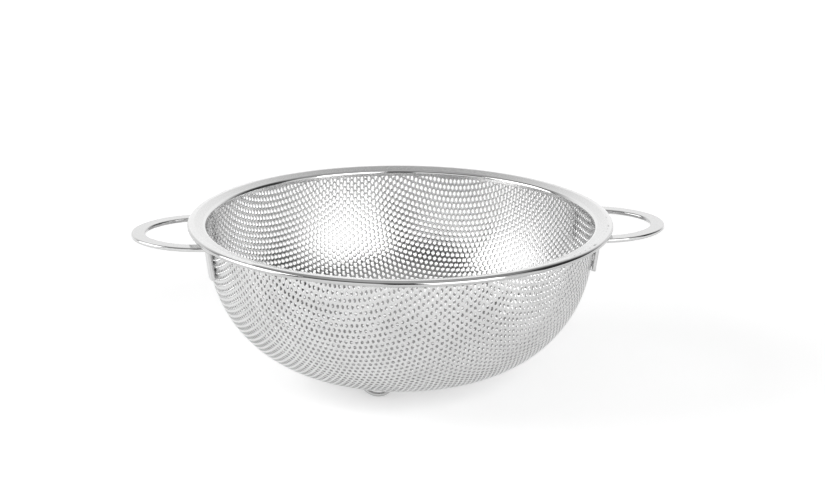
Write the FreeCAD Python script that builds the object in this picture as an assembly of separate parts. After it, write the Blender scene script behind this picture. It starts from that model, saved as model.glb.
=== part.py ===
import FreeCAD, Part
import math
import os

# Perforated draining mould of stainless steel: a drawn bowl whose edge is gripped by a
# formed rim ring, two strip handles welded to the wall and three wire feet under it.
# Millimetres. The origin is on the floor under the bowl's axis, +Z is up and the
# handles point along -X and +X.

V = FreeCAD.Vector
UP = V(0, 0, 1)

# Heights above the floor and drops below the flange's top face
RIM_TOP = 93.0
HANDLE_DROP = 6.7
LEG_END_DROP = 25.3
LEG_CONTACT_DROP = 18.0

# Drawn bowl: outer face as three tangent arcs, steepest at the rim
SHEET = 0.6
WALL_RADIUS = 110.8
WALL_ARC = 130.0
CORNER_ARC = 70.4
CORNER_LOW_SLOPE = math.radians(11.6)
CORNER_HIGH_SLOPE = math.radians(74.9)
BOWL_EDGE_DROP = 2.6

# Rim ring: one strip formed into a hollow flange that grips the bowl's edge. The flange
# falls towards the mouth from a rounded crown, which runs out into a tighter edge.
RIM_RADIUS = 120.0
RIM_SHEET = 0.5
RIM_DISH = math.radians(13.5)
RIM_CROWN_ARC = 4.5
RIM_CROWN_FALL = math.radians(25)
RIM_EDGE_ARC = 1.6
RIM_SKIRT = 4.8
RIM_INNER_BEND = 1.6
RIM_LIP_BEND = 0.8
GRIP_CLEARANCE = 0.15
LIP_CLEARANCE = 0.05

# Handles: flat strip with rounded edges, laid flat and bent down at the wall
STRIP_WIDTH = 8.0
STRIP_THICKNESS = 2.4
STRIP_EDGE = 0.9
HANDLE_TIP = 151.4
LEG_SPREAD = 30.4
TIP_ARC = 26.0
SHOULDER_ARC = 37.0
BEND_ARC = 4.0
LEG_CLEARANCE = 0.3
LEG_CORNER = 2.5

# Feet: wire hoops under the bowl
WIRE = 2.4
FOOT_ARC = 9.7
FOOT_CIRCLE = 42.0
FOOT_SPREAD = math.radians(80)
FOOT_ANGLES = {"foot_front": -113.0, "foot_right": 7.0, "foot_rear": 127.0}

# Welds
NUGGET_RADIUS = 1.5
NUGGET_DROPS = (14.5, 21.5)
NUGGET_REACH = 3.0
BEAD_RADIUS = 1.9


def line(start, end):
    return Part.LineSegment(start, end).toShape()


def arc(centre, radius, start, end):
    """Arc in the XZ plane between two directions, in radians from +X towards +Z."""
    points = []
    for angle in (start, (start + end) / 2, end):
        points.append(centre + V(math.cos(angle), 0, math.sin(angle)) * radius)
    return Part.Arc(*points).toShape()


def outline(edges):
    return Part.Face(Part.Wire(Part.sortEdges(edges)[0]))


def turned(face):
    return face.revolve(V(0, 0, 0), UP, 360)


def leaning(slope):
    """Outward normal of a section curve that climbs at this slope."""
    return V(math.sin(slope), 0, -math.cos(slope))


def about_axis(shape, degrees):
    moved = shape.copy()
    moved.rotate(V(0, 0, 0), UP, degrees)
    return moved


def bowl_centres():
    """Centre, radius, lower slope and upper slope of the outer face's arcs, from the pole up."""
    top_slope = math.pi / 2 - math.asin(BOWL_EDGE_DROP / WALL_ARC)
    wall = V(WALL_RADIUS - WALL_ARC, 0, RIM_TOP)
    corner = wall + leaning(CORNER_HIGH_SLOPE) * (WALL_ARC - CORNER_ARC)
    bottom_arc = CORNER_ARC + corner.x / math.sin(CORNER_LOW_SLOPE)
    bottom = corner + leaning(CORNER_LOW_SLOPE) * (CORNER_ARC - bottom_arc)
    return [
        (V(0, 0, bottom.z), bottom_arc, 0, CORNER_LOW_SLOPE),
        (corner, CORNER_ARC, CORNER_LOW_SLOPE, CORNER_HIGH_SLOPE),
        (wall, WALL_ARC, CORNER_HIGH_SLOPE, top_slope),
    ]


def bowl_arcs(inset):
    """Section arcs of the face that lies this far inside the bowl's outer face."""
    edges = []
    for centre, radius, low, high in bowl_centres():
        edges.append(arc(centre, radius - inset, low - math.pi / 2, high - math.pi / 2))
    return edges


def section_ends(edges):
    points = []
    for edge in (edges[0], edges[-1]):
        points.append([vertex.Point for vertex in edge.Vertexes])
    lowest = min(points[0], key=lambda point: point.z)
    highest = max(points[1], key=lambda point: point.z)
    return lowest, highest


def perforated_bowl():
    """Sheet shell of even thickness, with no holes in it."""
    outer = bowl_arcs(0)
    inner = bowl_arcs(SHEET)
    outer_low, outer_high = section_ends(outer)
    inner_low, inner_high = section_ends(inner)
    closing = [line(outer_high, inner_high), line(inner_low, outer_low)]
    return turned(outline(outer + inner + closing))


def bowl_envelope():
    """Everything inside the bowl's outer face, to trim what is welded to it."""
    outer = bowl_arcs(0)
    low, high = section_ends(outer)
    top = V(0, 0, high.z)
    return turned(outline(outer + [line(high, top), line(top, low)]))


def rim_ring():
    """Inner skirt, dished flange, crown, outer edge, return and outer lip, as one strip."""
    skirt_in = WALL_RADIUS - SHEET - GRIP_CLEARANCE - RIM_SHEET
    lip_in = WALL_RADIUS + LIP_CLEARANCE
    lip_out = lip_in + RIM_SHEET
    half = RIM_SHEET / 2
    foot = RIM_TOP - RIM_SKIRT + half
    left, right, top, bottom = math.pi, 0, math.pi / 2, -math.pi / 2
    dished, fallen = top + RIM_DISH, top - RIM_CROWN_FALL
    across = RIM_CROWN_ARC - RIM_EDGE_ARC
    edge_x = RIM_RADIUS - RIM_EDGE_ARC
    crown = V(edge_x - across * math.cos(fallen), 0, RIM_TOP - RIM_CROWN_ARC)
    edge = crown + V(math.cos(fallen), 0, math.sin(fallen)) * across
    flange = V(math.cos(dished), 0, math.sin(dished))
    bend_x = skirt_in + RIM_INNER_BEND
    climb = RIM_CROWN_ARC - RIM_INNER_BEND - flange.x * (bend_x - crown.x)
    bend = V(bend_x, 0, crown.z + climb / flange.z)
    lip = V(lip_out + RIM_LIP_BEND, 0, edge.z - RIM_EDGE_ARC - RIM_LIP_BEND)
    under = UP * -RIM_EDGE_ARC
    outside = [
        line(V(skirt_in, 0, foot), V(skirt_in, 0, bend.z)),
        arc(bend, RIM_INNER_BEND, left, dished),
        line(bend + flange * RIM_INNER_BEND, crown + flange * RIM_CROWN_ARC),
        arc(crown, RIM_CROWN_ARC, dished, fallen),
        arc(edge, RIM_EDGE_ARC, fallen, bottom),
        line(edge + under, lip + UP * RIM_LIP_BEND),
        arc(lip, RIM_LIP_BEND, top, left),
        line(V(lip_out, 0, lip.z), V(lip_out, 0, foot)),
        arc(V(lip_in + half, 0, foot), half, right, -left),
    ]
    inner_bend = RIM_INNER_BEND - RIM_SHEET
    inner_crown = RIM_CROWN_ARC - RIM_SHEET
    inner_edge = RIM_EDGE_ARC - RIM_SHEET
    lip_back = RIM_LIP_BEND + RIM_SHEET
    back = [
        line(V(lip_in, 0, foot), V(lip_in, 0, lip.z)),
        arc(lip, lip_back, left, top),
        line(lip + UP * lip_back, edge - UP * inner_edge),
        arc(edge, inner_edge, bottom, fallen),
        arc(crown, inner_crown, fallen, dished),
        line(crown + flange * inner_crown, bend + flange * inner_bend),
        arc(bend, inner_bend, dished, left),
        line(V(skirt_in + RIM_SHEET, 0, bend.z), V(skirt_in + RIM_SHEET, 0, foot)),
        arc(V(skirt_in + half, 0, foot), half, right, -left),
    ]
    return turned(outline(outside + back))


def strip_section():
    """Rounded strip section in the YZ plane, centred on the origin, its width along Y."""
    block = Part.makeBox(1, STRIP_WIDTH, STRIP_THICKNESS)
    block.translate(V(0, -STRIP_WIDTH / 2, -STRIP_THICKNESS / 2))
    long_edges = [edge for edge in block.Edges if abs(edge.tangentAt(0).x) > 0.9]
    rounded = block.makeFillet(STRIP_EDGE, long_edges)
    ends = [face for face in rounded.Faces if face.CenterOfMass.x < 1e-6]
    return ends[0]


def leg_line():
    """A leg in the plane of its radius: middle point by the contact, lean, outward normal."""
    lean = math.asin(LEG_CONTACT_DROP / WALL_ARC)
    radius = WALL_RADIUS - WALL_ARC * (1 - math.cos(lean))
    outward = V(math.cos(lean), 0, -math.sin(lean))
    contact = V(radius, 0, RIM_TOP - LEG_CONTACT_DROP)
    return contact + outward * (STRIP_THICKNESS / 2 + LEG_CLEARANCE), lean, outward


def bend_start():
    """Where the strip's middle leaves the level, in the plane of the leg's radius."""
    middle, lean = leg_line()[:2]
    height = RIM_TOP - HANDLE_DROP
    slack = BEND_ARC + math.sin(lean) * (height - BEND_ARC - middle.z)
    return V(middle.x + slack / math.cos(lean), 0, height)


def leg_turn():
    """Degrees from +X to the +Y leg's radius, so that the leg meets its bar of the loop."""
    return math.degrees(math.asin(LEG_SPREAD / bend_start().x))


def leg(bar):
    """The +X, +Y bar trimmed square to its leg's radius, then the bend and the leg."""
    lean, outward = leg_line()[1:]
    start = bend_start()
    pivot = start - UP * BEND_ARC
    trim = Part.makeBox(HANDLE_TIP, HANDLE_TIP * 2, STRIP_WIDTH * 2)
    trim.translate(V(start.x, -HANDLE_TIP, start.z - STRIP_WIDTH))
    bar = about_axis(bar, -leg_turn()).common(trim)
    ends = [face for face in bar.Faces if abs(face.CenterOfMass.x - start.x) < 1e-6]
    flat = ends[0]
    turn = 90 - math.degrees(lean)
    bend = flat.revolve(pivot, V(0, -1, 0), turn)
    upright = flat.copy()
    upright.rotate(pivot, V(0, -1, 0), turn)
    down = V(-math.sin(lean), 0, -math.cos(lean))
    leg_top = pivot - outward * BEND_ARC
    length = (leg_top.z - (RIM_TOP - LEG_END_DROP)) / math.cos(lean)
    width = flat.BoundBox.YLength
    tab = Part.makeBox(STRIP_WIDTH, width, length + LEG_CORNER)
    corners = []
    for edge in tab.Edges:
        if abs(edge.tangentAt(0).x) > 0.9 and edge.CenterOfMass.z < 1e-6:
            corners.append(edge)
    tab = tab.makeFillet(LEG_CORNER, corners)
    tab.translate(V(-STRIP_WIDTH / 2, -width / 2, -length))
    tab.rotate(V(0, 0, 0), V(0, 1, 0), math.degrees(lean))
    tab.translate(leg_top)
    upright = upright.extrude(down * length).common(tab)
    return [about_axis(piece, leg_turn()) for piece in (bar, bend, upright)]


def handle():
    """The +X handle: two legs and the loop of shoulder, tip and shoulder arcs."""
    height = RIM_TOP - HANDLE_DROP
    tip_centre = V(HANDLE_TIP - STRIP_WIDTH / 2 - TIP_ARC, 0, height)
    side_offset = SHOULDER_ARC - LEG_SPREAD
    forward = math.sqrt((SHOULDER_ARC - TIP_ARC) ** 2 - side_offset ** 2)
    shoulder_centre = V(tip_centre.x - forward, -side_offset, height)
    shoulder_turn = math.degrees(math.atan2(forward, side_offset))
    flat = strip_section()
    flat.translate(V(shoulder_centre.x, LEG_SPREAD, height))
    shoulder = flat.revolve(shoulder_centre, -UP, shoulder_turn)
    pieces = leg(flat.extrude(V(-STRIP_WIDTH, 0, 0)).fuse(shoulder))
    flat.rotate(shoulder_centre, -UP, shoulder_turn)
    pieces.append(flat.revolve(tip_centre, -UP, 90 - shoulder_turn))
    half = pieces[0].multiFuse(pieces[1:])
    other = half.mirror(V(0, 0, 0), V(0, 1, 0))
    return half.fuse(other).removeSplitter()


def foot(angle):
    """Wire hoop across the radius at this angle, before the bowl trims its ends."""
    low = WIRE / 2
    centre = V(FOOT_CIRCLE, 0, low + FOOT_ARC)
    first = V(0, -math.sin(FOOT_SPREAD), -math.cos(FOOT_SPREAD)) * FOOT_ARC
    along = V(0, math.cos(FOOT_SPREAD), -math.sin(FOOT_SPREAD))
    ring = Part.Circle(centre + first, along, WIRE / 2).toShape()
    hoop = Part.Face(Part.Wire(ring)).revolve(centre, V(1, 0, 0), 2 * math.degrees(FOOT_SPREAD))
    middle = centre - UP * FOOT_ARC
    last = V(0, -first.y, first.z)
    path = Part.Arc(centre + first, middle, centre + last).toShape()
    for shape in (hoop, path):
        shape.rotate(V(0, 0, 0), UP, angle)
    return hoop, path


def foot_beads(hoop, path, envelope):
    """Weld bead round each end of a hoop, on the bowl's outer face."""
    beads = []
    for vertex in path.cut(envelope).Vertexes:
        ball = Part.makeSphere(BEAD_RADIUS, vertex.Point)
        beads.extend(ball.cut(envelope).cut(hoop).Solids)
    return beads


def leg_nuggets(grip, envelope):
    """Spot-weld nuggets that fill the gap between the +X handle's legs and the wall."""
    middle, lean, outward = leg_line()
    nuggets = []
    for side in (-1, 1):
        for drop in NUGGET_DROPS:
            along = (middle.z - (RIM_TOP - drop)) / math.cos(lean)
            seat = V(middle.x - along * math.sin(lean), 0, RIM_TOP - drop)
            plug = Part.makeCylinder(NUGGET_RADIUS, NUGGET_REACH, seat, outward * -1)
            plug = about_axis(plug, side * leg_turn())
            nuggets.extend(plug.cut(grip).cut(envelope).Solids)
    return nuggets


envelope = bowl_envelope()
parts = {"perforated_bowl": perforated_bowl(), "rim_ring": rim_ring()}

grip = handle()
welds = Part.makeCompound(leg_nuggets(grip, envelope))
for side, degrees in (("right", 0), ("left", 180)):
    parts["handle_" + side] = about_axis(grip, degrees)
    parts["handle_" + side + "_welds"] = about_axis(welds, degrees)

beads = []
for name, degrees in FOOT_ANGLES.items():
    hoop, path = foot(degrees)
    parts[name] = hoop.cut(envelope)
    beads.extend(foot_beads(hoop, path, envelope))
parts["foot_welds"] = Part.makeCompound(beads)

os.makedirs("parts", exist_ok=True)
for name, shape in parts.items():
    shape.exportStep("parts/" + name + ".step")
    box = shape.optimalBoundingBox()
    print(name, "solids", len(shape.Solids), "volume", round(shape.Volume, 2), "valid", shape.isValid())
    print("   x %.2f %.2f  y %.2f %.2f  z %.2f %.2f" % (
        box.XMin, box.XMax, box.YMin, box.YMax, box.ZMin, box.ZMax))
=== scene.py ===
import math

import bpy
import numpy as np
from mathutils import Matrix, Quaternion, Vector


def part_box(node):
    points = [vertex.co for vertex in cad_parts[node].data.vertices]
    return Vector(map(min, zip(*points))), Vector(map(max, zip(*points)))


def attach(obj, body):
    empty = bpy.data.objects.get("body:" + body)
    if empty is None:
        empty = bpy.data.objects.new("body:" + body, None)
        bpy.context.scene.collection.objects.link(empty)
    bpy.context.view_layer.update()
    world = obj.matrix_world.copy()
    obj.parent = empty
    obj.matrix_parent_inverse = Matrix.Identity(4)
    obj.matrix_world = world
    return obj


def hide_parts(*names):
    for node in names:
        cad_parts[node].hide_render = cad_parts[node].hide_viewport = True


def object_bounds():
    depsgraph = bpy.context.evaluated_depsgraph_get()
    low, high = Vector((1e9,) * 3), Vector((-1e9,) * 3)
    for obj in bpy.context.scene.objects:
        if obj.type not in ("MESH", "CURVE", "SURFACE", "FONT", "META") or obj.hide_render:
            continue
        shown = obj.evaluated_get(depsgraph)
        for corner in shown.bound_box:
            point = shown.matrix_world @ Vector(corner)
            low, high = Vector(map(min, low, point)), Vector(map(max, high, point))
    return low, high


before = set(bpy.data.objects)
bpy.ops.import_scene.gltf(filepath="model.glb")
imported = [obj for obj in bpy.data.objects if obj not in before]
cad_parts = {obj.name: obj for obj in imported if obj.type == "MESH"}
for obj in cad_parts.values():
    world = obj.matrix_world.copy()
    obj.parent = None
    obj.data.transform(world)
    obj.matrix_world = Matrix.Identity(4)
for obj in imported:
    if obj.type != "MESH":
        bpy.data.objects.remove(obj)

cad_low, cad_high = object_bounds()

MM = 0.001
RIM_TOP = cad_high.z
SECTORS = 6

# Bowl sheet and the arcs of its outer face, as in the CAD
SHEET = 0.6 * MM
WALL_ARC = 130.0 * MM
CORNER_ARC = 70.4 * MM
CORNER_LOW_SLOPE = math.radians(11.6)
CORNER_HIGH_SLOPE = math.radians(74.9)

# Steps along each arc when the section is sampled
ARC_STEPS = 600

# Perforation: punched flat on a triangular pitch, then stretched by the draw
PITCH = 3.4 * MM
HOLE_RADIUS = 1.0 * MM
LATTICE_TURN = math.radians(38.4)
HOLE_SIDES = 12
ROLL_WIDTH = 0.16 * MM
ROLL_DEPTH = 0.10 * MM

# How far the webs, the rolled edges and the holes stay inside the sheet's plain edge
WEB_MARGIN = 0.1 * MM
ROLL_MARGIN = 0.2 * MM
HOLE_MARGIN = 0.3 * MM

# Smallest turn from one corner of the plain edge to the next
LEAST_EDGE_STEP = 1e-4

# Turns the sector limits off the lattice lines that they would run along
ON_THE_LINE = 1e-6

# Edges that turn by more than this stay sharp when the sheet is shaded
SHARP_ANGLE = math.radians(40)

# A cell's corners, and the neighbour across each side, in thirds of and whole lattice steps
CORNER_STEPS = [(1, 1), (-1, 2), (-2, 1), (-1, -1), (1, -2), (2, -1)]
NEIGHBOURS = [(0, 1), (-1, 1), (-1, 0), (0, -1), (1, -1), (1, 0)]

# Rim ring radii: where the satin starts and is full, where it fades out, and where painted shade
# comes in over the rolled edge
SATIN_IN = (110.6 * MM, 111.6 * MM)
SATIN_OUT = (115.5 * MM, 117.0 * MM)
ROLLED_EDGE_SHADE_SPAN = (118.9 * MM, 119.6 * MM)

# Steels: grey of the metal and roughness, from one end of the mottling to the other
SHEET_GREY = (0.59, 0.64)
SHEET_ROUGH = (0.13, 0.18)
RIM_GREY = (0.64, 0.67)
RIM_POLISH = 0.09
RIM_SATIN = 0.17
RIM_GRAIN = (-0.03, 0.03)
# Painted shade: the rolled edge's grey is scaled down by this, dimming its reflection of the bright
# floor
RIM_EDGE_PAINTED_SHADE = 0.76
STRIP_GREY = (0.54, 0.59)
STRIP_ROUGH = (0.08, 0.16)
WIRE_GREY = (0.50, 0.56)
WIRE_ROUGH = (0.12, 0.2)
WELD_GREY = (0.45, 0.58)
WELD_ROUGH = (0.3, 0.45)

# The span of a noise texture that carries most of its mottling, and a tighter one for clouds
MOTTLE = (0.3, 0.7)
CLOUDED = (0.35, 0.65)

# Fineness of each noise, in waves to the metre, the rim's across its grain and to the radian
CLOUDS = 45.0
PEEL = 650.0
GRAIN = (6000.0, 30.0)
WAVES = 60.0
LINES = 900.0
DRAWN = 1200.0
RIPPLES = 1500.0

# Bumps: strength and height
PEEL_BUMP = (0.25, 0.02 * MM)
GRAIN_BUMP = (0.03, 0.01 * MM)
WAVES_BUMP = (0.5, 0.15 * MM)
DRAWN_BUMP = (0.2, 0.01 * MM)
RIPPLES_BUMP = (0.6, 0.05 * MM)

# Camera of the main view
CAMERA_AZIMUTH = math.radians(-5.2)
CAMERA_ELEVATION = math.radians(15.95)
CAMERA_ROLL = math.radians(0.22)
CAMERA_DISTANCE = 1.1
CAMERA_LENS = 84.83
CAMERA_FAR = 100.0
SENSOR = 36.0
SHIFT_X = 0.0148
SHIFT_Y = -0.0310

# Studio, in the brightness of a white card. Azimuths are in degrees clockwise from +Y
# seen from above, and elevations in degrees above the floor.
FLOOR_HALF = 6.0
FLOOR_WHITE = 0.9
FLOOR_ROUGH = 0.9
FLOOR_GLOW = 0.32
FLOOR_FAR_GLOW = 0.8
GLOW_SPAN = (0.3, 1.1)
BACKDROP = 1.15
BACKDROP_TOP = 0.3
CEILING = 0.36
ZENITH = 0.26
ROOM = 0.05
PANEL_BLUR = 3.0
SOFTBOX_DISTANCE = 2.0

# Where these come in or fade: along +Y for the backdrop's sides, and upwards for the rest
BACKDROP_SIDES = (0.26, 0.8)
BACKDROP_FADE = (0.45, 0.72)
CEILING_SPAN = (0.74, 0.86)
ZENITH_SPAN = (0.88, 1.0)

# Panels of the dark room: azimuth, half width, top, radiance
PANELS = [(121, 13, 45, 0.85), (-144, 22, 29, 1.15)]

# Softboxes: name, azimuth, elevation, width, height, radiance
SOFTBOXES = [
    ("softbox_right", 151, 23, 1.45, 1.7, 3.3),
    ("softbox_left", -89, 23, 1.5, 1.7, 3.6),
]


# ---------------------------------------------------------------- bowl section

def bowl_arcs():
    """(centre r, centre z, radius, low slope, high slope) of the outer face, pole first."""
    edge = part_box("perforated_bowl")[1]
    drop = RIM_TOP - edge.z
    top_slope = math.pi / 2 - math.asin(drop / WALL_ARC)
    wall_r, wall_z = edge.x - math.sqrt(WALL_ARC ** 2 - drop ** 2), RIM_TOP
    corner_r = wall_r + (WALL_ARC - CORNER_ARC) * math.sin(CORNER_HIGH_SLOPE)
    corner_z = wall_z - (WALL_ARC - CORNER_ARC) * math.cos(CORNER_HIGH_SLOPE)
    bottom_arc = CORNER_ARC + corner_r / math.sin(CORNER_LOW_SLOPE)
    bottom_z = corner_z + (bottom_arc - CORNER_ARC) * math.cos(CORNER_LOW_SLOPE)
    return [
        (0.0, bottom_z, bottom_arc, 0.0, CORNER_LOW_SLOPE),
        (corner_r, corner_z, CORNER_ARC, CORNER_LOW_SLOPE, CORNER_HIGH_SLOPE),
        (wall_r, wall_z, WALL_ARC, CORNER_HIGH_SLOPE, top_slope),
    ]


class DrawnSheet:
    """Maps the flat blank onto the drawn bowl, keeping every patch's area."""

    def __init__(self):
        rows = []
        for centre_r, centre_z, radius, low, high in bowl_arcs():
            for slope in np.linspace(low, high, ARC_STEPS):
                r = centre_r + radius * math.sin(slope)
                z = centre_z - radius * math.cos(slope)
                rows.append((r, z, slope))
        self.r, self.z, self.slope = np.array(rows).T
        middle = self.r - SHEET / 2 * np.sin(self.slope)
        height = self.z + SHEET / 2 * np.cos(self.slope)
        run = np.hypot(np.diff(middle), np.diff(height))
        moment = np.concatenate([[0.0], np.cumsum((middle[1:] + middle[:-1]) / 2 * run)])
        self.flat = np.sqrt(2 * moment)
        self.edge = self.flat[-1]

    def place(self, flat_xy, depth):
        """Points this far under the outer face, for points of the flat blank."""
        radius = np.hypot(flat_xy[:, 0], flat_xy[:, 1])
        angle = np.arctan2(flat_xy[:, 1], flat_xy[:, 0])
        slope = np.interp(radius, self.flat, self.slope)
        r = np.interp(radius, self.flat, self.r) - depth * np.sin(slope)
        z = np.interp(radius, self.flat, self.z) + depth * np.cos(slope)
        return np.column_stack([r * np.cos(angle), r * np.sin(angle), z])


# ---------------------------------------------------------------- perforated bowl

def lattice_xy(thirds):
    """Flat position of points given in thirds of the two lattice steps."""
    a, b = np.asarray(thirds, float).reshape(-1, 2).T / 3
    x, y = PITCH * (a + b / 2), PITCH * b * math.sqrt(3) / 2
    cosine, sine = math.cos(LATTICE_TURN), math.sin(LATTICE_TURN)
    return np.column_stack([x * cosine - y * sine, x * sine + y * cosine])


def lattice_cells(sheet):
    """Cells whose middle is on the blank, as (i, j): sector. The pole's cell is in the first."""
    reach = sheet.edge - HOLE_MARGIN
    span = int(reach / PITCH * 2 / math.sqrt(3)) + 2
    cells = {}
    for i in range(-span, span + 1):
        for j in range(-span, span + 1):
            if (i * i + i * j + j * j) * PITCH ** 2 > reach ** 2:
                continue
            angle = math.atan2(j * math.sqrt(3) / 2, i + j / 2) + ON_THE_LINE
            cells[i, j] = int(angle % (2 * math.pi) / (2 * math.pi) * SECTORS)
    return cells


def corner_key(cell, k):
    """A cell corner in thirds of the lattice steps, the same from each cell that shares it."""
    step = CORNER_STEPS[k % 6]
    return cell[0] * 3 + step[0], cell[1] * 3 + step[1]


def edge_links(cells):
    """Cell sides that face the sheet's plain edge, as corner key to next corner key."""
    links = {}
    for cell in cells:
        for k, (di, dj) in enumerate(NEIGHBOURS):
            if (cell[0] + di, cell[1] + dj) not in cells:
                links[corner_key(cell, k)] = corner_key(cell, k + 1)
    return links


def edge_angles(links):
    """Angle on the sheet's edge circle for each corner of the zigzag, never turning back."""
    angle = {key: math.atan2(*lattice_xy(key)[0][::-1]) for key in links}
    start = min(angle, key=angle.get)
    placed = {start: angle[start]}
    last, key = angle[start], links[start]
    while key != start:
        last = max(angle[key], last + LEAST_EDGE_STEP)
        placed[key] = last
        key = links[key]
    return placed


def held_in(points, limit):
    """Points of the blank, with those past this radius pulled back to it."""
    radius = np.hypot(points[:, 0], points[:, 1])
    return points * np.minimum(1, limit / radius)[:, None]


def ring(centres, radius):
    """Points round each centre of the blank, (cells, sides, 2), the first on a lattice line."""
    turn = LATTICE_TURN + np.arange(HOLE_SIDES) * 2 * math.pi / HOLE_SIDES
    spokes = radius * np.column_stack([np.cos(turn), np.sin(turn)])
    return (centres[:, None, :] + spokes[None, :, :]).reshape(-1, 2)


def cell_faces(corner_of, roll_of, edge_of):
    """Triangles of one face round every hole: the web, then the rolled edge of the hole."""
    tris = []
    fan = HOLE_SIDES // 6
    for k in range(6):
        here, after = corner_of[:, k], corner_of[:, (k + 1) % 6]
        near = [roll_of[:, (fan * k + m) % HOLE_SIDES] for m in range(fan + 1)]
        for m in range(fan):
            tris.append(np.column_stack([here, near[m], near[m + 1]]))
        tris.append(np.column_stack([here, near[fan], after]))
    for m in range(HOLE_SIDES):
        after = (m + 1) % HOLE_SIDES
        tris.append(np.column_stack([roll_of[:, m], edge_of[:, m], edge_of[:, after]]))
        tris.append(np.column_stack([roll_of[:, m], edge_of[:, after], roll_of[:, after]]))
    return np.concatenate(tris)


def open_sides(members, links):
    """Sides of a sector's cells that face the sheet's plain edge, as pairs of corner keys."""
    sides = []
    for cell in members:
        for k in range(6):
            here, after = corner_key(cell, k), corner_key(cell, k + 1)
            if links.get(here) == after:
                sides.append((here, after))
    return sides


def sector_mesh(name, sheet, members, links, angles):
    """Closed mesh of one sector: both faces, hole walls, cut sides and plain edge."""
    cells = np.array(members)
    count = len(cells)
    keys = cells[:, None, :] * 3 + np.array(CORNER_STEPS)[None, :, :]
    keys, corner_of = np.unique(keys.reshape(-1, 2), axis=0, return_inverse=True)
    roll_of = len(keys) + np.arange(count * HOLE_SIDES).reshape(count, HOLE_SIDES)
    edge_of = roll_of + count * HOLE_SIDES
    centres = lattice_xy(cells * 3)

    # Plain strip from the zigzag of cells out to the sheet's edge
    sides = open_sides(members, links)
    number = {tuple(key): n for n, key in enumerate(keys.tolist())}
    ends = sorted({key for side in sides for key in side})
    first = len(keys) + 2 * count * HOLE_SIDES
    outer = {key: first + n for n, key in enumerate(ends)}
    strip = np.array([(number[a], number[b], outer[b], outer[a]) for a, b in sides])
    edge_xy = [(sheet.edge * math.cos(angles[k]), sheet.edge * math.sin(angles[k])) for k in ends]

    web = cell_faces(corner_of.reshape(count, 6), roll_of, edge_of)
    face = np.concatenate([web, strip[:, [0, 1, 3]], strip[:, [1, 2, 3]]])
    corners = held_in(lattice_xy(keys), sheet.edge - WEB_MARGIN)
    rolls = held_in(ring(centres, HOLE_RADIUS + ROLL_WIDTH), sheet.edge - ROLL_MARGIN)
    holes = held_in(ring(centres, HOLE_RADIUS), sheet.edge - HOLE_MARGIN)
    flat = np.concatenate([corners, rolls, holes, edge_xy])
    depth = np.zeros(len(flat))
    depth[edge_of] = ROLL_DEPTH
    points = np.concatenate([sheet.place(flat, depth), sheet.place(flat, SHEET - depth)])

    # The inner face is the same, turned over; every open side of the face gets a wall
    n = len(flat)
    start = face.reshape(-1)
    stop = face[:, [1, 2, 0]].reshape(-1)
    lone = ~np.isin(start * n + stop, stop * n + start)
    walls = np.column_stack([stop[lone], start[lone], start[lone] + n, stop[lone] + n])
    inner = face[:, ::-1] + n
    mesh = bpy.data.meshes.new(name)
    mesh.from_pydata(points.tolist(), [], face.tolist() + inner.tolist() + walls.tolist())
    mesh.shade_smooth()
    mesh.set_sharp_from_angle(angle=SHARP_ANGLE)
    return mesh


def perforated_bowl(material):
    """The bowl with its real holes, in sectors that stand in for the plain CAD bowl."""
    sheet = DrawnSheet()
    cells = lattice_cells(sheet)
    links = edge_links(cells)
    angles = edge_angles(links)
    for sector in range(SECTORS):
        name = f"perforated_bowl_sector_{sector + 1}"
        members = [cell for cell, home in cells.items() if home == sector]
        mesh = sector_mesh(name, sheet, members, links, angles)
        mesh.materials.append(material)
        piece = bpy.data.objects.new(name, mesh)
        bpy.context.scene.collection.objects.link(piece)
        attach(piece, "root")
        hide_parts("perforated_bowl")


# ---------------------------------------------------------------- materials

class Nodes:
    """Short calls for building one material's or world's node tree."""

    def __init__(self, tree):
        self.tree = tree

    def add(self, kind, **values):
        made = self.tree.nodes.new(kind)
        for name, value in values.items():
            setattr(made, name, value)
        return made

    def link(self, output, socket):
        self.tree.links.new(output, socket)

    def math(self, operation, *terms):
        made = self.add("ShaderNodeMath", operation=operation)
        for socket, term in zip(made.inputs, terms):
            if isinstance(term, (int, float)):
                socket.default_value = term
            else:
                self.link(term, socket)
        return made.outputs[0]

    def level(self, x, y):
        """Length of the level part of a vector."""
        squares = self.math("ADD", self.math("MULTIPLY", x, x), self.math("MULTIPLY", y, y))
        return self.math("SQRT", squares)

    def smooth(self, value, start, stop, low, high):
        """Runs smoothly from low at start to high at stop."""
        made = self.add("ShaderNodeMapRange", interpolation_type="SMOOTHSTEP")
        self.link(value, made.inputs["Value"])
        limits = {"From Min": start, "From Max": stop, "To Min": low, "To Max": high}
        for name, number in limits.items():
            made.inputs[name].default_value = number
        return made.outputs["Result"]

    def mottle(self, noise, limits):
        """Runs from the first limit to the second over most of a noise's range."""
        return self.smooth(noise, *MOTTLE, *limits)

    def noise(self, vector, scale, detail=2.0):
        made = self.add("ShaderNodeTexNoise")
        self.link(vector, made.inputs["Vector"])
        made.inputs["Scale"].default_value = scale
        made.inputs["Detail"].default_value = detail
        return made.outputs["Fac"]

    def combine(self, x, y, z):
        made = self.add("ShaderNodeCombineXYZ")
        for socket, value in zip(made.inputs, (x, y, z)):
            self.link(value, socket)
        return made.outputs[0]

    def place(self):
        """Position in the part's frame as a vector and as x, y, z."""
        position = self.add("ShaderNodeTexCoord").outputs["Object"]
        parts = self.add("ShaderNodeSeparateXYZ")
        self.link(position, parts.inputs[0])
        return position, *parts.outputs

    def bump(self, height, strength, distance):
        made = self.add("ShaderNodeBump")
        self.link(height, made.inputs["Height"])
        made.inputs["Strength"].default_value = strength
        made.inputs["Distance"].default_value = distance
        return made.outputs["Normal"]


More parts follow.
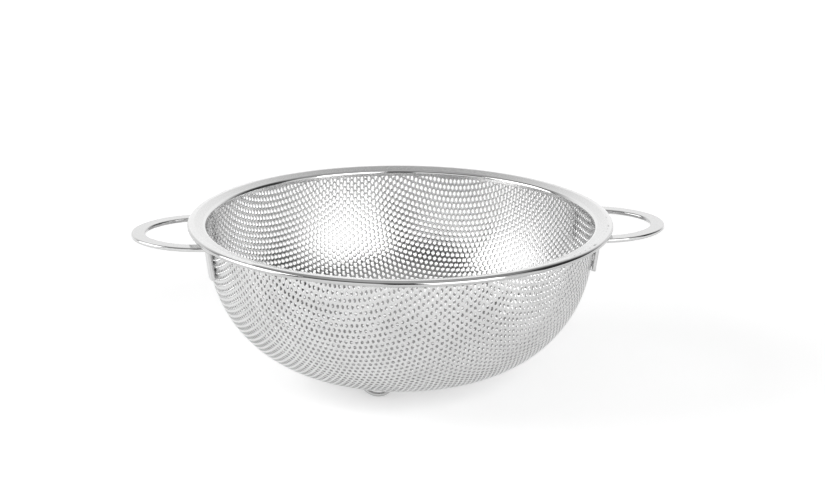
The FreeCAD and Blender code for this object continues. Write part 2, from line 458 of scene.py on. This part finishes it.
def blank_steel(name):
    """A metal material and its nodes, before colour, roughness and bump are linked."""
    material = bpy.data.materials.new(name)
    material.use_nodes = True
    shader = material.node_tree.nodes["Principled BSDF"]
    shader.inputs["Metallic"].default_value = 1.0
    return material, Nodes(material.node_tree), shader


def grey(nodes, shader, value):
    """Links one number to all three channels of the base colour."""
    nodes.link(nodes.combine(value, value, value), shader.inputs["Base Color"])


def sheet_steel():
    """Bright drawn sheet: faint orange peel from the draw and clouded polish."""
    material, nodes, shader = blank_steel("perforated_sheet")
    position = nodes.place()[0]
    clouds = nodes.noise(position, CLOUDS, detail=3.0)
    peel = nodes.noise(position, PEEL)
    grey(nodes, shader, nodes.mottle(clouds, SHEET_GREY))
    nodes.link(nodes.smooth(clouds, *CLOUDED, *SHEET_ROUGH), shader.inputs["Roughness"])
    nodes.link(nodes.bump(peel, *PEEL_BUMP), shader.inputs["Normal"])
    return material


def round_grain(nodes, across, around):
    """Noise stretched round the bowl's axis, as a turned finish leaves it."""
    _, x, y, z = nodes.place()
    radius = nodes.level(x, y)
    angle = nodes.math("ARCTAN2", y, x)
    vector = nodes.combine(
        nodes.math("MULTIPLY", radius, across),
        nodes.math("MULTIPLY", angle, around),
        nodes.math("MULTIPLY", z, across))
    return nodes.noise(vector, 1.0, detail=3.0), radius


def rim_steel():
    """Satin on the dished flange, polished on the crown and the skirt, with painted shade darkening
    the rolled edge.
    """
    material, nodes, shader = blank_steel("rim_steel")
    grain, radius = round_grain(nodes, *GRAIN)
    inside = nodes.smooth(radius, *SATIN_IN, 0.0, 1.0)
    outside = nodes.smooth(radius, *SATIN_OUT, 1.0, 0.0)
    satin = nodes.math("MULTIPLY", inside, outside)
    rough = nodes.math("ADD", nodes.math("MULTIPLY", satin, RIM_SATIN), RIM_POLISH)
    rough = nodes.math("ADD", rough, nodes.mottle(grain, RIM_GRAIN))
    # Painted shade: the grey is darkened over the rolled edge, standing in for a darker reflection
    # there
    roll_painted_shade = nodes.smooth(radius, *ROLLED_EDGE_SHADE_SPAN, 1.0, RIM_EDGE_PAINTED_SHADE)
    grey(nodes, shader, nodes.math("MULTIPLY", roll_painted_shade, nodes.mottle(grain, RIM_GREY)))
    nodes.link(rough, shader.inputs["Roughness"])
    nodes.link(nodes.bump(grain, *GRAIN_BUMP), shader.inputs["Normal"])
    return material


def strip_steel():
    """Polished strip with fine lines and slow waves from the rolling."""
    material, nodes, shader = blank_steel("handle_steel")
    position = nodes.place()[0]
    waves = nodes.noise(position, WAVES, detail=1.0)
    lines = nodes.noise(position, LINES, detail=3.0)
    grey(nodes, shader, nodes.mottle(lines, STRIP_GREY))
    nodes.link(nodes.mottle(lines, STRIP_ROUGH), shader.inputs["Roughness"])
    nodes.link(nodes.bump(waves, *WAVES_BUMP), shader.inputs["Normal"])
    return material


def wire_steel():
    """Bright drawn wire with a faint grain."""
    material, nodes, shader = blank_steel("wire_steel")
    position = nodes.place()[0]
    drawn = nodes.noise(position, DRAWN)
    grey(nodes, shader, nodes.mottle(drawn, WIRE_GREY))
    nodes.link(nodes.mottle(drawn, WIRE_ROUGH), shader.inputs["Roughness"])
    nodes.link(nodes.bump(drawn, *DRAWN_BUMP), shader.inputs["Normal"])
    return material


def weld_steel():
    """Cleaned weld metal: duller, rippled and slightly darker than the sheet."""
    material, nodes, shader = blank_steel("weld_steel")
    position = nodes.place()[0]
    ripples = nodes.noise(position, RIPPLES)
    grey(nodes, shader, nodes.mottle(ripples, WELD_GREY))
    nodes.link(nodes.mottle(ripples, WELD_ROUGH), shader.inputs["Roughness"])
    nodes.link(nodes.bump(ripples, *RIPPLES_BUMP), shader.inputs["Normal"])
    return material


def dress_nodes():
    """Gives each CAD node that stays in view the steel of its own slot."""
    slots = {
        "rim_steel": rim_steel(),
        "handle_steel": strip_steel(),
        "wire_steel": wire_steel(),
        "weld_steel": weld_steel(),
    }
    for node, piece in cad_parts.items():
        if node == "perforated_bowl":
            continue
        if node.endswith("welds"):
            slot = "weld_steel"
        elif node.startswith("handle"):
            slot = "handle_steel"
        elif node.startswith("foot"):
            slot = "wire_steel"
        else:
            slot = "rim_steel"
        piece.data.materials.clear()
        piece.data.materials.append(slots[slot])


# ---------------------------------------------------------------- stage

def stage_floor():
    """Pale sweep: white paint that also glows, more so away from the bowl and its shadow."""
    ends = [(-1, -1), (1, -1), (1, 1), (-1, 1)]
    corners = [(x * FLOOR_HALF, y * FLOOR_HALF, 0) for x, y in ends]
    mesh = bpy.data.meshes.new("floor")
    mesh.from_pydata(corners, [], [(0, 1, 2, 3)])
    floor = bpy.data.objects.new("floor", mesh)
    bpy.context.scene.collection.objects.link(floor)
    material = bpy.data.materials.new("floor")
    material.use_nodes = True
    shader = material.node_tree.nodes["Principled BSDF"]
    shader.inputs["Base Color"].default_value = (FLOOR_WHITE, FLOOR_WHITE, FLOOR_WHITE, 1)
    shader.inputs["Roughness"].default_value = FLOOR_ROUGH
    shader.inputs["Specular IOR Level"].default_value = 0.0
    shader.inputs["Emission Color"].default_value = (1, 1, 1, 1)
    nodes = Nodes(material.node_tree)
    _, x, y, _ = nodes.place()
    glow = nodes.smooth(nodes.level(x, y), *GLOW_SPAN, FLOOR_GLOW, FLOOR_FAR_GLOW)
    nodes.link(glow, shader.inputs["Emission Strength"])
    mesh.materials.append(material)


def panel(nodes, direction, azimuth, half, top, radiance):
    """Soft-edged white panel that stands on the floor and reaches up to this elevation."""
    x, y, z = direction
    turn = math.radians(azimuth)
    x_part = nodes.math("MULTIPLY", x, math.sin(turn))
    y_part = nodes.math("MULTIPLY", y, math.cos(turn))
    cosine = nodes.math("DIVIDE", nodes.math("ADD", x_part, y_part), nodes.level(x, y))
    outer, inner = math.radians(half + PANEL_BLUR), math.radians(half - PANEL_BLUR)
    across = nodes.smooth(cosine, math.cos(outer), math.cos(inner), 0.0, radiance)
    low, high = math.radians(top - PANEL_BLUR), math.radians(top + PANEL_BLUR)
    return nodes.math("MULTIPLY", across, nodes.smooth(z, math.sin(low), math.sin(high), 1.0, 0.0))


def studio():
    """Bright backdrop behind the bowl, dimmer ceiling, two panels in a dark room in front."""
    world = bpy.data.worlds.new("studio")
    world.use_nodes = True
    nodes = Nodes(world.node_tree)
    direction = nodes.add("ShaderNodeTexCoord").outputs["Generated"]
    parts = nodes.add("ShaderNodeSeparateXYZ")
    nodes.link(direction, parts.inputs[0])
    x, y, z = parts.outputs
    backdrop = nodes.smooth(y, *BACKDROP_SIDES, 0.0, BACKDROP)
    fade = nodes.smooth(z, *BACKDROP_FADE, 1.0, BACKDROP_TOP)
    light = nodes.math("ADD", nodes.math("MULTIPLY", backdrop, fade), ROOM)
    ceiling = nodes.smooth(z, *CEILING_SPAN, 0.0, CEILING)
    zenith = nodes.smooth(z, *ZENITH_SPAN, 0.0, ZENITH)
    panels = [panel(nodes, (x, y, z), *values) for values in PANELS]
    for part in [ceiling, zenith, *panels]:
        light = nodes.math("ADD", light, part)
    seen = nodes.add("ShaderNodeLightPath").outputs["Is Camera Ray"]
    shown = nodes.math("MAXIMUM", light, seen)
    background = world.node_tree.nodes["Background"]
    nodes.link(nodes.combine(shown, shown, shown), background.inputs["Color"])
    bpy.context.scene.world = world


def softbox(name, azimuth, elevation, width, height, radiance):
    """Area light that faces the bowl."""
    turn, rise = math.radians(azimuth), math.radians(elevation)
    reach = math.cos(rise)
    away = Vector((math.sin(turn) * reach, math.cos(turn) * reach, math.sin(rise)))
    light = bpy.data.lights.new(name, "AREA")
    light.shape = "RECTANGLE"
    light.size = width
    light.size_y = height
    light.energy = radiance * math.pi * width * height
    made = bpy.data.objects.new(name, light)
    bpy.context.scene.collection.objects.link(made)
    made.location = away * SOFTBOX_DISTANCE + Vector((0, 0, RIM_TOP))
    made.rotation_mode = "QUATERNION"
    made.rotation_quaternion = away.to_track_quat("Z", "Y")


def camera():
    """Camera of the main view, looking at the middle of the mouth with a small roll."""
    data = bpy.data.cameras.new("camera")
    data.sensor_width = SENSOR
    data.lens = CAMERA_LENS
    data.shift_x = SHIFT_X
    data.shift_y = SHIFT_Y
    data.clip_end = CAMERA_FAR
    made = bpy.data.objects.new("camera", data)
    bpy.context.scene.collection.objects.link(made)
    turn, rise = CAMERA_AZIMUTH, CAMERA_ELEVATION
    reach = math.cos(rise)
    back = Vector((math.sin(turn) * reach, -math.cos(turn) * reach, math.sin(rise)))
    made.location = Vector((0, 0, RIM_TOP)) + back * CAMERA_DISTANCE
    made.rotation_mode = "QUATERNION"
    level = (-back).to_track_quat("-Z", "Y")
    made.rotation_quaternion = level @ Quaternion((0, 0, 1), CAMERA_ROLL)
    bpy.context.scene.camera = made


camera()
studio()
for softbox_values in SOFTBOXES:
    softbox(*softbox_values)
stage_floor()
bpy.context.scene.view_settings.view_transform = "Standard"
perforated_bowl(sheet_steel())
dress_nodes()
